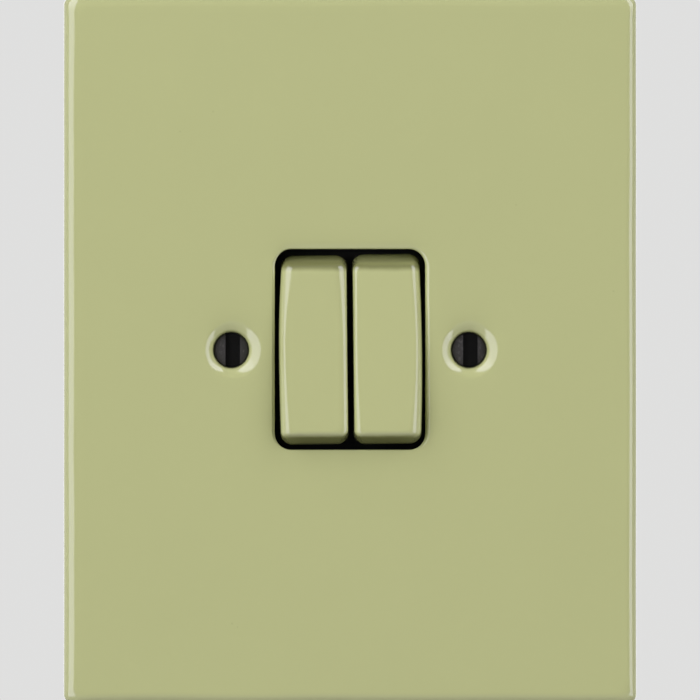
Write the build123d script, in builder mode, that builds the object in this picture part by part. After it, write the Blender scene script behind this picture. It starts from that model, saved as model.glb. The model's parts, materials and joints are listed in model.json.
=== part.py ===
"""Double rocker light switch with a glazed porcelain cover, for a round wall box.

X runs to the right, Z up and Y into the wall. The origin is the centre of the
cover's back rim, so the wall's surface is the plane y = 0 and the face looks
along -Y. Lengths are in millimetres and angles in degrees.
"""

import os
from math import cos, radians, sin, tan

from build123d import *

# Porcelain rocker caps and the gaps round them
rocker_width = 9.9
rocker_length = 27.0
rocker_height = 3.8
rocker_bulge = 0.2
rocker_side_draft = 4.0
rocker_top_draft = 29.0
rocker_bottom_draft = 15.5
rocker_corner_radius = 1.6
rocker_edge_radius = 0.9
rocker_proud = 1.2
rocker_tilt = 5.5
middle_gap = 0.8
side_gap = 0.45
end_gap = 0.75

# Porcelain cover plate
plate_width = 82.0
plate_height = 101.2
plate_depth = 12.0
plate_front_wall = 4.5
plate_rim_wall = 4.5
plate_edge_radius = 1.5
plate_inner_radius = 4.0
window_corner_radius = 2.3
window_edge_radius = 0.6

# Cover screws, their holes in the plate and the bushes that they turn in
cover_head_diameter = 4.9
cover_head_side = 1.3
cover_head_dome = 0.7
cover_slot_width = 1.2
cover_slot_depth = 1.1
cover_thread_diameter = 3.0
cover_screw_past_bush = 3.0
cover_seat_depth = 3.4
cover_head_clearance = 0.2
cover_shank_clearance = 0.3
cover_hole_flare = 1.35
cover_boss_diameter = 8.0
cover_boss_clearance = 0.2
cover_boss_gap = 0.65
bush_diameter = 6.4
bush_spigot_diameter = 4.6
bush_height = 3.0
thread_clearance = 0.05

# Steel strap on the wall and its fixing slots
strap_thickness = 1.2
strap_end_clearance = 1.5
strap_corner_radius = 8.0
strap_lip_inset = 4.0
strap_lip_gap = 0.65
strap_lip_height = 2.6
strap_window_radius = 2.0
fixing_spacing = 60.0
fixing_slot_width = 4.2
fixing_slot_length = 8.0

# Pivot of the rockers
pivot_depth = 3.6
pin_diameter = 1.8
pin_seat_clearance = 0.02
pin_running_clearance = 0.05

# Moulded carriers under the caps
deck_width = 8.2
deck_inset = 1.6
deck_thickness = 1.6
deck_corner_radius = 1.2
spigot_width = 4.8
spigot_length = 17.8
spigot_height = 1.4
bond_gap = 0.1
hub_radius = 2.2
stem_diameter = 5.0
stem_length = 8.9
stem_rib_width = 1.2
stem_rib_reach = 9.0
stem_rib_drop = 4.0
stem_bore_end = 1.6

# Snap plungers and their springs
plunger_diameter = 3.0
plunger_clearance = 0.08
plunger_length = 5.6
plunger_lever_gap = 0.06
spring_wire = 0.4
spring_clearance = 0.18
spring_seat_gap = 0.05
spring_turns = 4

# See-saw contact levers and their forks
fulcrum_reach = 12.5
lever_ratio = 2.0
lever_length = 19.0
lever_width = 4.4
lever_thickness = 0.8
lever_end_radius = 1.0
trunnion_diameter = 1.6
trunnion_overlap = 0.4
trunnion_clearance = 0.05
fork_thickness = 1.0
fork_width = 4.0
fork_side_clearance = 0.25
fork_past_axis = 1.0

# Contacts and terminals
contact_diameter = 3.0
contact_height = 0.9
contact_dome = 0.3
contact_end_margin = 0.2
contact_gap = 0.08
terminal_strip = 1.0
terminal_strip_width = 4.4
common_strip_height = 5.0
contact_margin = 1.2
terminal_block_width = 7.0
terminal_block_height = 7.0
terminal_block_front = 3.0
terminal_block_back = 4.0
wire_hole_diameter = 3.2
wire_hole_end_wall = 1.2
terminal_screw_diameter = 3.0
terminal_head_diameter = 4.6
terminal_head_height = 1.8
terminal_slot_width = 0.8
terminal_slot_depth = 0.8

# Moulded frame in front of the strap
nose_clearance = 0.2
nose_gap = 0.35
frame_corner_radius = 1.6
pocket_side_clearance = 0.3
pocket_end_clearance = 1.0
middle_wall = 1.2
frame_side_wall = 2.6
frame_end_wall = 2.3
frame_plate_gap = 0.2
flange_thickness = 1.6
flange_margin = 0.6
flange_overlap = 2.0

# Moulded base in the wall box
base_width = 42.0
base_height = 45.0
base_corner = 7.0
base_back_wall = 4.75
base_edge_radius = 1.0
chamber_clearance = 0.5
chamber_end_clearance = 1.6
partition_gap = 0.2
terminal_chamber_clearance = 0.2
terminal_chamber_wall = 1.2
stop_diameter = 2.4
stop_inset = 1.6
stop_gap = 0.12
wire_entry_clearance = 0.2
wire_entry_funnel = 0.8
screw_tip_clearance = 0.5

# Screws that hold frame, strap and base together
assembly_diameter = 2.2
assembly_length = 12.0
assembly_head_diameter = 4.0
assembly_head_height = 1.4
assembly_head_gap = 0.4
assembly_slot_width = 0.6
assembly_slot_depth = 0.7
assembly_clearance = 0.2
assembly_thread_clearance = 0.02

# Places along Y that follow from the sizes
plate_front = -plate_depth
plate_inside = plate_front + plate_front_wall
cap_back = plate_front - rocker_proud + rocker_height
pivot_y = cap_back + pivot_depth
fulcrum_y = pivot_y + fulcrum_reach
strap_front = -strap_thickness
frame_front = plate_inside + frame_plate_gap
nose_front = cap_back + rocker_length / 2 * sin(radians(rocker_tilt)) + nose_gap
lever_tilt = rocker_tilt * lever_ratio

# Places across the face that follow from the sizes
rocker_pitch = rocker_width + middle_gap
window_width = rocker_pitch + rocker_width + 2 * side_gap
window_height = rocker_length + 2 * end_gap
nose_width = window_width - 2 * nose_clearance
nose_height = window_height - 2 * nose_clearance
nose_corner_radius = window_corner_radius - nose_clearance
deck_length = rocker_length - 2 * deck_inset
pocket_outer = rocker_pitch / 2 + deck_width / 2 + pocket_side_clearance
pocket_height = deck_length + 2 * pocket_end_clearance
frame_width = 2 * (pocket_outer + frame_side_wall)
frame_height = pocket_height + 2 * frame_end_wall
cover_screw_spacing = frame_width + cover_boss_diameter + 2 * cover_boss_gap
fork_inside = lever_width / 2 + fork_side_clearance
fork_outside = fork_inside + fork_thickness
chamber_width = rocker_pitch + 2 * (fork_outside + chamber_clearance)
chamber_height = lever_length + 2 * chamber_end_clearance
assembly_x = frame_width / 2
assembly_z = frame_height / 2 + assembly_head_diameter / 2 + assembly_head_gap
flange_end = assembly_z + assembly_head_diameter / 2 + flange_margin
strap_length = plate_width - 2 * plate_rim_wall - 2 * strap_end_clearance
strap_height = 2 * (flange_end + strap_lip_gap + strap_thickness)
strap_lip_length = strap_length - 2 * strap_corner_radius - 2 * strap_lip_inset

# Contact plane: where the dome of a closed contact lever comes to stand
contact_reach = lever_length / 2 - contact_diameter / 2 - contact_end_margin
contact_radius = (contact_diameter**2 / 4 + contact_dome**2) / (2 * contact_dome)
dome_centre = lever_thickness / 2 + contact_height - contact_radius
closed_dome = (
    contact_radius
    + dome_centre * cos(radians(lever_tilt))
    + contact_reach * sin(radians(lever_tilt))
)
closed_dome_z = contact_reach * cos(radians(lever_tilt)) - dome_centre * sin(radians(lever_tilt))
strip_front = fulcrum_y + closed_dome + contact_gap + contact_height
strip_back = strip_front + terminal_strip
block_front = strip_front - terminal_block_front
block_back = strip_back + terminal_block_back
base_depth = block_back + base_back_wall
block_inner = chamber_height / 2 + terminal_chamber_wall
block_outer = block_inner + terminal_block_height
wire_z = block_inner + terminal_block_height / 2
terminals = (
    ("common_terminal", 0, -1),
    ("switched_terminal_left", -rocker_pitch / 2, 1),
    ("switched_terminal_right", rocker_pitch / 2, 1),
)
hands = (("left", -rocker_pitch / 2), ("right", rocker_pitch / 2))


def facing(y):
    """Sketch plane parallel to the wall at this depth, its normal towards the viewer."""
    return Plane(origin=(0, y, 0), x_dir=(1, 0, 0), z_dir=(0, -1, 0))


def tilted(x, y, angle):
    """Sketch plane through an axis along X, with its top turned towards the viewer."""
    normal = (0, -cos(radians(angle)), -sin(radians(angle)))
    return Plane(origin=(x, y, 0), x_dir=(1, 0, 0), z_dir=normal)


def outward(x, y, z, side):
    """Sketch plane whose normal points up or down, out of a terminal block."""
    return Plane(origin=(x, y, z), x_dir=(1, 0, 0), z_dir=(0, 0, side))


def lathe(origin, direction):
    """Sketch plane for turned sections: radius along X, length along the direction."""
    return Plane(origin=origin, x_dir=(1, 0, 0), z_dir=Vector(1, 0, 0).cross(Vector(direction)))


def along(x, z):
    """Axis that points into the wall at this place on the face."""
    return Axis((x, 0, z), (0, 1, 0))


def rivet_section(plane):
    """Half section of a contact rivet: a short cylinder under a flat dome."""
    edge = contact_height - contact_dome
    with BuildSketch(plane) as section:
        with BuildLine():
            Polyline((0, contact_height), (0, 0), (contact_diameter / 2, 0), (contact_diameter / 2, edge))
            RadiusArc((contact_diameter / 2, edge), (0, contact_height), -contact_radius)
        make_face()
    return section.sketch


os.makedirs("parts", exist_ok=True)

# Cover plate: a tray with a window, and two shouldered screw holes in bosses
cover_hole_radius = cover_head_diameter / 2 + cover_head_clearance
cover_shank_hole = cover_thread_diameter / 2 + cover_shank_clearance
boss_back = strap_front - bush_height - cover_boss_clearance
with BuildPart() as cover_plate:
    with BuildSketch(facing(0)):
        Rectangle(plate_width, plate_height)
    extrude(amount=plate_depth)
    corners = cover_plate.edges().filter_by(Axis.Y)
    fillet(corners + cover_plate.faces().sort_by(Axis.Y)[0].edges(), plate_edge_radius)
    with BuildSketch(facing(0)):
        inside_width = plate_width - 2 * plate_rim_wall
        inside_height = plate_height - 2 * plate_rim_wall
        RectangleRounded(inside_width, inside_height, plate_inner_radius)
    extrude(amount=-plate_inside, mode=Mode.SUBTRACT)
    with BuildSketch(facing(boss_back)):
        with GridLocations(cover_screw_spacing, 0, 2, 1):
            Circle(cover_boss_diameter / 2)
    extrude(amount=boss_back - plate_inside)
    with BuildSketch(facing(0)):
        RectangleRounded(window_width, window_height, window_corner_radius)
    extrude(amount=plate_depth, mode=Mode.SUBTRACT)
    with BuildSketch(facing(0)):
        with GridLocations(cover_screw_spacing, 0, 2, 1):
            Circle(cover_shank_hole)
    extrude(amount=plate_depth, mode=Mode.SUBTRACT)
    with BuildSketch(facing(plate_front)):
        with GridLocations(cover_screw_spacing, 0, 2, 1):
            Circle(cover_hole_radius)
    extrude(amount=-cover_seat_depth, mode=Mode.SUBTRACT)
    mouths = cover_plate.faces().sort_by(Axis.Y)[0].inner_wires()
    by_size = mouths.sort_by(SortBy.LENGTH)
    fillet(by_size[-1].edges(), window_edge_radius)
    mouths = cover_plate.faces().sort_by(Axis.Y)[0].inner_wires()
    by_size = mouths.sort_by(SortBy.LENGTH)
    fillet(by_size[0].edges() + by_size[1].edges(), cover_hole_flare)
cover_plate.part.label = "cover_plate"
export_step(cover_plate.part, "parts/cover_plate.step")

# Cover screws: domed slotted heads on the shoulders of the plate's holes
head_seat = plate_front + cover_seat_depth
head_radius = cover_head_diameter / 2
head_dome_radius = (head_radius**2 + cover_head_dome**2) / (2 * cover_head_dome)
head_height = cover_head_side + cover_head_dome
shank_radius = cover_thread_diameter / 2
shank_end = head_seat - cover_screw_past_bush
with BuildPart() as cover_screws:
    for x in (-cover_screw_spacing / 2, cover_screw_spacing / 2):
        with BuildSketch(lathe((x, head_seat, 0), (0, -1, 0))):
            with BuildLine():
                Polyline(
                    (0, head_height),
                    (0, shank_end),
                    (shank_radius, shank_end),
                    (shank_radius, 0),
                    (head_radius, 0),
                    (head_radius, cover_head_side),
                )
                RadiusArc((head_radius, cover_head_side), (0, head_height), -head_dome_radius)
            make_face()
        revolve(axis=along(x, 0))
        with BuildSketch(facing(head_seat - head_height)):
            with Locations((x, 0)):
                Rectangle(cover_slot_width, cover_head_diameter)
        extrude(amount=-cover_slot_depth, mode=Mode.SUBTRACT)
cover_screws.part.label = "cover_screws"
export_step(cover_screws.part, "parts/cover_screws.step")

# Tapped bushes: turned collars with a spigot riveted into the strap
bush_bore = cover_thread_diameter / 2 + thread_clearance
with BuildPart() as cover_bushes:
    with BuildSketch(facing(strap_front)):
        with GridLocations(cover_screw_spacing, 0, 2, 1):
            Circle(bush_diameter / 2)
            Circle(bush_bore, mode=Mode.SUBTRACT)
    extrude(amount=bush_height)
    with BuildSketch(facing(0)):
        with GridLocations(cover_screw_spacing, 0, 2, 1):
            Circle(bush_spigot_diameter / 2)
            Circle(bush_bore, mode=Mode.SUBTRACT)
    extrude(amount=strap_thickness)
cover_bushes.part.label = "cover_bushes"
export_step(cover_bushes.part, "parts/cover_bushes.step")

# Mounting strap: pressed steel with a window, fixing slots and stiffening lips
with BuildPart() as mounting_strap:
    with BuildSketch(facing(0)):
        RectangleRounded(strap_length, strap_height, strap_corner_radius)
        RectangleRounded(chamber_width, chamber_height, strap_window_radius, mode=Mode.SUBTRACT)
        with GridLocations(fixing_spacing, 0, 2, 1):
            SlotOverall(fixing_slot_length, fixing_slot_width, mode=Mode.SUBTRACT)
        with GridLocations(cover_screw_spacing, 0, 2, 1):
            Circle(bush_spigot_diameter / 2, mode=Mode.SUBTRACT)
        with GridLocations(2 * assembly_x, 2 * assembly_z, 2, 2):
            Circle(assembly_diameter / 2 + assembly_clearance, mode=Mode.SUBTRACT)
    extrude(amount=strap_thickness)
    with BuildSketch(facing(strap_front)):
        with GridLocations(0, strap_height - strap_thickness, 1, 2):
            Rectangle(strap_lip_length, strap_thickness)
    extrude(amount=strap_lip_height - strap_thickness)
mounting_strap.part.label = "mounting_strap"
export_step(mounting_strap.part, "parts/mounting_strap.step")

# Mechanism cover: stepped frame with a pocket for each rocker and the pin's seats
with BuildPart() as mechanism_cover:
    with BuildSketch(facing(strap_front)):
        RectangleRounded(frame_width, frame_height, frame_corner_radius)
    extrude(amount=strap_front - frame_front)
    with BuildSketch(facing(frame_front)):
        RectangleRounded(nose_width, nose_height, nose_corner_radius)
    extrude(amount=frame_front - nose_front)
    with BuildSketch(facing(strap_front)):
        flange_width = 2 * assembly_x + assembly_head_diameter + 2 * flange_margin
        flange_start = frame_height / 2 - flange_overlap
        with GridLocations(0, flange_start + flange_end, 1, 2):
            RectangleRounded(flange_width, flange_end - flange_start, frame_corner_radius)
        with GridLocations(2 * assembly_x, 2 * assembly_z, 2, 2):
            Circle(assembly_diameter / 2 + assembly_clearance, mode=Mode.SUBTRACT)
    extrude(amount=flange_thickness)
    with BuildSketch(facing(strap_front)):
        pocket_width = pocket_outer - middle_wall / 2
        with GridLocations(pocket_outer + middle_wall / 2, 0, 2, 1):
            Rectangle(pocket_width, pocket_height)
    extrude(amount=strap_front - nose_front, mode=Mode.SUBTRACT)
    with BuildSketch(Plane.YZ.offset(-frame_width)):
        with Locations((pivot_y, 0)):
            Circle(pin_diameter / 2 + pin_seat_clearance)
    extrude(amount=2 * frame_width, mode=Mode.SUBTRACT)
mechanism_cover.part.label = "mechanism_cover"
export_step(mechanism_cover.part, "parts/mechanism_cover.step")

# Pivot pin: from side to side of the frame
with BuildPart() as pivot_pin:
    with BuildSketch(Plane.YZ.offset(-frame_width / 2)):
        with Locations((pivot_y, 0)):
            Circle(pin_diameter / 2)
    extrude(amount=frame_width)
pivot_pin.part.label = "pivot_pin"
export_step(pivot_pin.part, "parts/pivot_pin.step")

# Assembly screws: from the frame's flanges through the strap into the base
flange_front = strap_front - flange_thickness
with BuildPart() as assembly_screws:
    with BuildSketch(facing(flange_front)):
        with GridLocations(2 * assembly_x, 2 * assembly_z, 2, 2):
            Circle(assembly_head_diameter / 2)
    extrude(amount=assembly_head_height)
    with BuildSketch(facing(flange_front)):
        with GridLocations(2 * assembly_x, 2 * assembly_z, 2, 2):
            Circle(assembly_diameter / 2)
    extrude(amount=-assembly_length)
    with BuildSketch(facing(flange_front - assembly_head_height)):
        with GridLocations(2 * assembly_x, 2 * assembly_z, 2, 2):
            Rectangle(assembly_slot_width, assembly_head_diameter)
    extrude(amount=-assembly_slot_depth, mode=Mode.SUBTRACT)
assembly_screws.part.label = "assembly_screws"
export_step(assembly_screws.part, "parts/assembly_screws.step")

# Mechanism base: a box with a contact chamber and three terminal chambers
terminal_chamber_width = terminal_block_width + 2 * terminal_chamber_clearance
stop_z = lever_length / 2 - stop_inset
stop_reach = stop_z + stop_diameter / 2
stop_front = (
    fulcrum_y
    + stop_reach * sin(radians(lever_tilt))
    + lever_thickness / 2 * cos(radians(lever_tilt))
    + stop_gap
)
with BuildPart() as mechanism_base:
    with BuildSketch(facing(base_depth)) as base_outline:
        Rectangle(base_width, base_height)
        chamfer(base_outline.vertices(), base_corner)
    extrude(amount=base_depth)
    fillet(mechanism_base.faces().sort_by(Axis.Y)[-1].edges(), base_edge_radius)
    with BuildSketch(facing(0)):
        Rectangle(chamber_width, chamber_height)
    extrude(amount=-strip_back, mode=Mode.SUBTRACT)
    with BuildSketch(facing(0)):
        Rectangle(middle_wall, chamber_height)
    extrude(amount=partition_gap - strip_front)
    with BuildSketch(facing(0)):
        chamber_inner = block_inner - terminal_chamber_clearance
        chamber_outer = base_height / 2
        for _, x, side in terminals:
            with Locations((x, side * (chamber_inner + chamber_outer) / 2)):
                Rectangle(terminal_chamber_width, chamber_outer - chamber_inner)
    extrude(amount=-block_back, mode=Mode.SUBTRACT)
    with BuildSketch(facing(0)):
        passage_width = terminal_strip_width + 2 * terminal_chamber_clearance
        for _, x, side in terminals:
            with Locations((x, side * (chamber_height / 2 + chamber_inner) / 2)):
                Rectangle(passage_width, chamber_inner - chamber_height / 2)
    extrude(amount=-strip_back, mode=Mode.SUBTRACT)
    with BuildSketch(facing(strip_back)):
        for _, x in hands:
            with Locations((x, -stop_z)):
                Circle(stop_diameter / 2)
    extrude(amount=strip_back - stop_front)
    with BuildSketch(facing(base_depth)):
        for _, x, side in terminals:
            with Locations((x, side * wire_z)):
                Circle(wire_hole_diameter / 2 + wire_entry_clearance)
    extrude(amount=base_back_wall, mode=Mode.SUBTRACT)
    back_holes = mechanism_base.faces().sort_by(Axis.Y)[-1].inner_wires()
    chamfer([edge for hole in back_holes for edge in hole.edges()], wire_entry_funnel)
    with BuildSketch(facing(0)):
        with GridLocations(cover_screw_spacing, 0, 2, 1):
            Circle(cover_thread_diameter / 2 + cover_shank_clearance)
    extrude(amount=-cover_screw_past_bush - screw_tip_clearance, mode=Mode.SUBTRACT)
    with BuildSketch(facing(0)):
        with GridLocations(2 * assembly_x, 2 * assembly_z, 2, 2):
            Circle(assembly_diameter / 2 + assembly_thread_clearance)
    assembly_depth = assembly_length - flange_thickness - strap_thickness + screw_tip_clearance
    extrude(amount=-assembly_depth, mode=Mode.SUBTRACT)
mechanism_base.part.label = "mechanism_base"
export_step(mechanism_base.part, "parts/mechanism_base.step")

# Terminals: a strip on the chamber's floor and a block with wire and screw holes
block_middle = (block_front + block_back) / 2
contact_start = closed_dome_z - contact_diameter / 2 - contact_margin
notch_radius = trunnion_diameter / 2 + trunnion_clearance
for name, x, side in terminals:
    strip_start = 0 if name == "common_terminal" else contact_start
    with BuildPart() as terminal:
        with BuildSketch(facing(strip_back)):
            with Locations((x, side * (strip_start + wire_z) / 2)):
                Rectangle(terminal_strip_width, wire_z - strip_start)
        extrude(amount=terminal_strip)
        with BuildSketch(facing(block_back)):
            with Locations((x, side * wire_z)):
                Rectangle(terminal_block_width, terminal_block_height)
        extrude(amount=block_back - block_front)
        with BuildSketch(facing(block_back)):
            with Locations((x, side * wire_z)):
                Circle(wire_hole_diameter / 2)
        extrude(amount=block_back - block_front - wire_hole_end_wall, mode=Mode.SUBTRACT)
        with BuildSketch(outward(x, block_middle, side * block_outer, side)):
            Circle(terminal_screw_diameter / 2 + thread_clearance)
        extrude(amount=-terminal_block_height / 2, mode=Mode.SUBTRACT)
        if name == "common_terminal":
            with BuildSketch(facing(strip_back)):
                Rectangle(rocker_pitch + 2 * fork_outside, common_strip_height)
            extrude(amount=terminal_strip)
            with BuildSketch(facing(strip_front)):
                for _, fork_x in hands:
                    with Locations((fork_x, 0)):
                        with GridLocations(fork_inside + fork_outside, 0, 2, 1):
                            Rectangle(fork_thickness, fork_width)
            extrude(amount=strip_front - fulcrum_y + fork_past_axis)
            with BuildSketch(Plane.YZ.offset(-chamber_width / 2)):
                with Locations((fulcrum_y, 0)):
                    Circle(notch_radius)
                with Locations((fulcrum_y - fork_past_axis, 0)):
                    Rectangle(2 * fork_past_axis, 2 * notch_radius)
            extrude(amount=chamber_width, mode=Mode.SUBTRACT)
    terminal.part.label = name
    export_step(terminal.part, f"parts/{name}.step")

# Terminal screws: slotted, from the outer end of each block to its wire hole
with BuildPart() as terminal_screws:
    for _, x, side in terminals:
        head_plane = outward(x, block_middle, side * block_outer, side)
        with BuildSketch(head_plane):
            Circle(terminal_head_diameter / 2)
        extrude(amount=terminal_head_height)
        with BuildSketch(head_plane):
            Circle(terminal_screw_diameter / 2)
        extrude(amount=(wire_hole_diameter - terminal_block_height) / 2)
        with BuildSketch(head_plane.offset(terminal_head_height)):
            Rectangle(terminal_head_diameter, terminal_slot_width)
        extrude(amount=-terminal_slot_depth, mode=Mode.SUBTRACT)
terminal_screws.part.label = "terminal_screws"
export_step(terminal_screws.part, "parts/terminal_screws.step")

# Fixed contacts: domed rivets on the outgoing strips
with BuildPart() as fixed_contacts:
    for _, x in hands:
        seat = (x, strip_front, closed_dome_z)
        revolve(rivet_section(lathe(seat, (0, -1, 0))), axis=along(x, closed_dome_z))
fixed_contacts.part.label = "fixed_contacts"
export_step(fixed_contacts.part, "parts/fixed_contacts.step")

# The moving pieces stand as at rest: top of each rocker pressed in, bottom out
plunger_radius = plunger_diameter / 2
bore_radius = plunger_radius + plunger_clearance
nose_centre = fulcrum_reach - lever_thickness / 2 - plunger_radius - plunger_lever_gap
plunger_back = nose_centre + plunger_radius - plunger_length
spring_radius = bore_radius - spring_clearance - spring_wire / 2
spring_end = spring_wire / 2 + spring_seat_gap
spring_length = plunger_back - stem_bore_end - 2 * spring_end
for hand, x in hands:
    rocker_plane = tilted(x, pivot_y, -rocker_tilt)
    across = Plane(origin=(x, pivot_y, 0), x_dir=rocker_plane.y_dir, z_dir=(1, 0, 0))
    backwards = -rocker_plane.z_dir

    # Rocker cap: barrel-sided and rounded, with sloped ends and a socket in its back
    with BuildPart() as rocker:
        with BuildSketch(rocker_plane.offset(pivot_depth)):
            with BuildLine():
                half_width = rocker_width / 2
                half_length = rocker_length / 2
                half_end = half_width - rocker_bulge
                right = ThreePointArc((half_end, -half_length), (half_width, 0), (half_end, half_length))
                left = ThreePointArc((-half_end, half_length), (-half_width, 0), (-half_end, -half_length))
                Line(right @ 1, left @ 0)
                Line(left @ 1, right @ 0)
            make_face()
        extrude(amount=rocker_height, taper=rocker_side_draft)
        with BuildSketch(across):
            face_height = pivot_depth + rocker_height
            face_top = half_length - rocker_height * tan(radians(rocker_top_draft))
            face_bottom = half_length - rocker_height * tan(radians(rocker_bottom_draft))
            Polygon(
                (-half_length, pivot_depth),
                (half_length, pivot_depth),
                (face_top, face_height),
                (-face_bottom, face_height),
                align=None,
            )
        extrude(amount=rocker_width, both=True, mode=Mode.INTERSECT)
        by_height = Axis((0, 0, 0), rocker_plane.z_dir)
        levels = rocker.faces().sort_by(by_height)
        fillet(rocker.edges() - levels[0].edges() - levels[-1].edges(), rocker_corner_radius)
        fillet(rocker.faces().sort_by(by_height)[-1].edges(), rocker_edge_radius)
        with BuildSketch(rocker_plane.offset(pivot_depth)):
            Rectangle(spigot_width + 2 * bond_gap, spigot_length + 2 * bond_gap)
        extrude(amount=spigot_height + bond_gap, mode=Mode.SUBTRACT)
    rocker.part.label = f"rocker_{hand}"
    export_step(rocker.part, f"parts/rocker_{hand}.step")

    # Carrier: deck and spigot under the cap, hub on the pin, ribbed spring stem
    with BuildPart() as carrier:
        with BuildSketch(rocker_plane.offset(pivot_depth)):
            RectangleRounded(deck_width, deck_length, deck_corner_radius)
        extrude(amount=-deck_thickness)
        with BuildSketch(rocker_plane.offset(pivot_depth)):
            Rectangle(spigot_width, spigot_length)
        extrude(amount=spigot_height)
        with BuildSketch(across):
            Circle(hub_radius)
        extrude(amount=deck_width / 2, both=True)
        with BuildSketch(rocker_plane):
            Circle(stem_diameter / 2)
        extrude(amount=-stem_length)
        with BuildSketch(across):
            Polygon(
                (-stem_rib_reach, pivot_depth - deck_thickness),
                (stem_rib_reach, pivot_depth - deck_thickness),
                (stem_diameter / 2, -stem_rib_drop),
                (-stem_diameter / 2, -stem_rib_drop),
                align=None,
            )
        extrude(amount=stem_rib_width / 2, both=True)
        with BuildSketch(rocker_plane.offset(-stem_length)):
            Circle(bore_radius)
        extrude(amount=stem_length - stem_bore_end, mode=Mode.SUBTRACT)
        with BuildSketch(across):
            Circle(pin_diameter / 2 + pin_running_clearance)
        extrude(amount=deck_width, both=True, mode=Mode.SUBTRACT)
    carrier.part.label = f"carrier_{hand}"
    export_step(carrier.part, f"parts/carrier_{hand}.step")

    # Snap plunger: round-nosed, sliding in the stem
    with BuildPart() as plunger:
        with BuildSketch(lathe((x, pivot_y, 0), backwards)):
            with BuildLine():
                Polyline(
                    (0, nose_centre + plunger_radius),
                    (0, plunger_back),
                    (plunger_radius, plunger_back),
                    (plunger_radius, nose_centre),
                )
                RadiusArc((plunger_radius, nose_centre), (0, nose_centre + plunger_radius), -plunger_radius)
            make_face()
        revolve(axis=Axis((x, pivot_y, 0), backwards))
    plunger.part.label = f"plunger_{hand}"
    export_step(plunger.part, f"parts/plunger_{hand}.step")

    # Plunger spring: between the end of the stem's bore and the plunger
    with BuildPart() as plunger_spring:
        seat = rocker_plane.offset(spring_end - plunger_back)
        pitch = spring_length / spring_turns
        with BuildLine() as coil:
            Helix(pitch, spring_length, spring_radius, center=seat.origin, direction=seat.z_dir)
        with BuildSketch(Plane(origin=coil.line @ 0, z_dir=coil.line % 0)):
            Circle(spring_wire / 2)
        sweep(is_frenet=True)
    plunger_spring.part.label = f"plunger_spring_{hand}"
    export_step(plunger_spring.part, f"parts/plunger_spring_{hand}.step")

    # Contact lever: a see-saw strip with trunnions, its upper end lifted off
    lever_plane = tilted(x, fulcrum_y, lever_tilt)
    with BuildPart() as contact_lever:
        with BuildSketch(lever_plane.offset(-lever_thickness / 2)):
            RectangleRounded(lever_width, lever_length, lever_end_radius)
        extrude(amount=lever_thickness)
        for side in (-1, 1):
            root = x + side * (lever_width / 2 - trunnion_overlap)
            with BuildSketch(Plane(origin=(root, fulcrum_y, 0), x_dir=(0, 1, 0), z_dir=(side, 0, 0))):
                Circle(trunnion_diameter / 2)
            extrude(amount=fork_outside - lever_width / 2 + trunnion_overlap)
    contact_lever.part.label = f"contact_lever_{hand}"
    export_step(contact_lever.part, f"parts/contact_lever_{hand}.step")

    # Moving contact: a domed rivet on the back of the lever's upper arm
    rivet_seat = lever_plane.from_local_coords((0, contact_reach, -lever_thickness / 2))
    with BuildPart() as moving_contact:
        rivet_axis = Axis(rivet_seat, -lever_plane.z_dir)
        revolve(rivet_section(lathe(rivet_seat, -lever_plane.z_dir)), axis=rivet_axis)
    moving_contact.part.label = f"moving_contact_{hand}"
    export_step(moving_contact.part, f"parts/moving_contact_{hand}.step")
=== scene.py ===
import json
from math import cos, exp, hypot, pi, radians, sin, sqrt, tan

import bmesh
import bpy
from bpy.props import FloatProperty, FloatVectorProperty, PointerProperty
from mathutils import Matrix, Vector, noise
from mathutils.geometry import delaunay_2d_cdt


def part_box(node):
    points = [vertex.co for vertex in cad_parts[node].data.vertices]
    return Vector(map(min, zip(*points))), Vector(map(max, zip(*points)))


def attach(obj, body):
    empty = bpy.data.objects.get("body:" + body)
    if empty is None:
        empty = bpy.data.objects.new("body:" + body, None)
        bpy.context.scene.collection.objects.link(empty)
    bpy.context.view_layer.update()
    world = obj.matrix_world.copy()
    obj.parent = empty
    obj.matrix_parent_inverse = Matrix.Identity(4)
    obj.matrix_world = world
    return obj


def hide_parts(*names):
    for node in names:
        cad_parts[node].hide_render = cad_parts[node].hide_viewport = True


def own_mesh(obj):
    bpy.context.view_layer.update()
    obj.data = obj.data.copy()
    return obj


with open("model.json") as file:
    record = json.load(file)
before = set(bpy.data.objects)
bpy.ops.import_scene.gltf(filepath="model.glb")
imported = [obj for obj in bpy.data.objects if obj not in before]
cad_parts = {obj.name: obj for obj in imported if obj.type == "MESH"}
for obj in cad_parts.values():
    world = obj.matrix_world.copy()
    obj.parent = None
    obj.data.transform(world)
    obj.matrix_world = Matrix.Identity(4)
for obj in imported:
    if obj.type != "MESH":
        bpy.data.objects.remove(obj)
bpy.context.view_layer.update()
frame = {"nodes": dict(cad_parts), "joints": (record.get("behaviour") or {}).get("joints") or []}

bl_info = {
    "name": "Porcelain light switch",
    "version": (1, 0, 0),
    "blender": (4, 5, 0),
    "location": "View3D > Sidebar > Light switch",
    "description": "Glazed cover, rockers, screws, mouldings and metalwork of a double rocker switch",
    "category": "Object",
}

plate_low, plate_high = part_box("cover_plate")
screws_low, screws_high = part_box("cover_screws")
joints = {joint["name"]: joint for joint in frame["joints"]}
hands = ("left", "right")


def length(name, description, default):
    """A length that a user can change, in metres."""
    return FloatProperty(name=name, description=description, default=default, unit="LENGTH", precision=5)


def slant(name, description, degrees):
    """An angle that a user can change, given in degrees."""
    return FloatProperty(name=name, description=description, default=radians(degrees), subtype="ANGLE")


def colour(name, description, default):
    """A colour that a user can change."""
    return FloatVectorProperty(
        name=name, description=description, default=default, subtype="COLOR", size=3, min=0.0, max=1.0
    )


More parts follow.
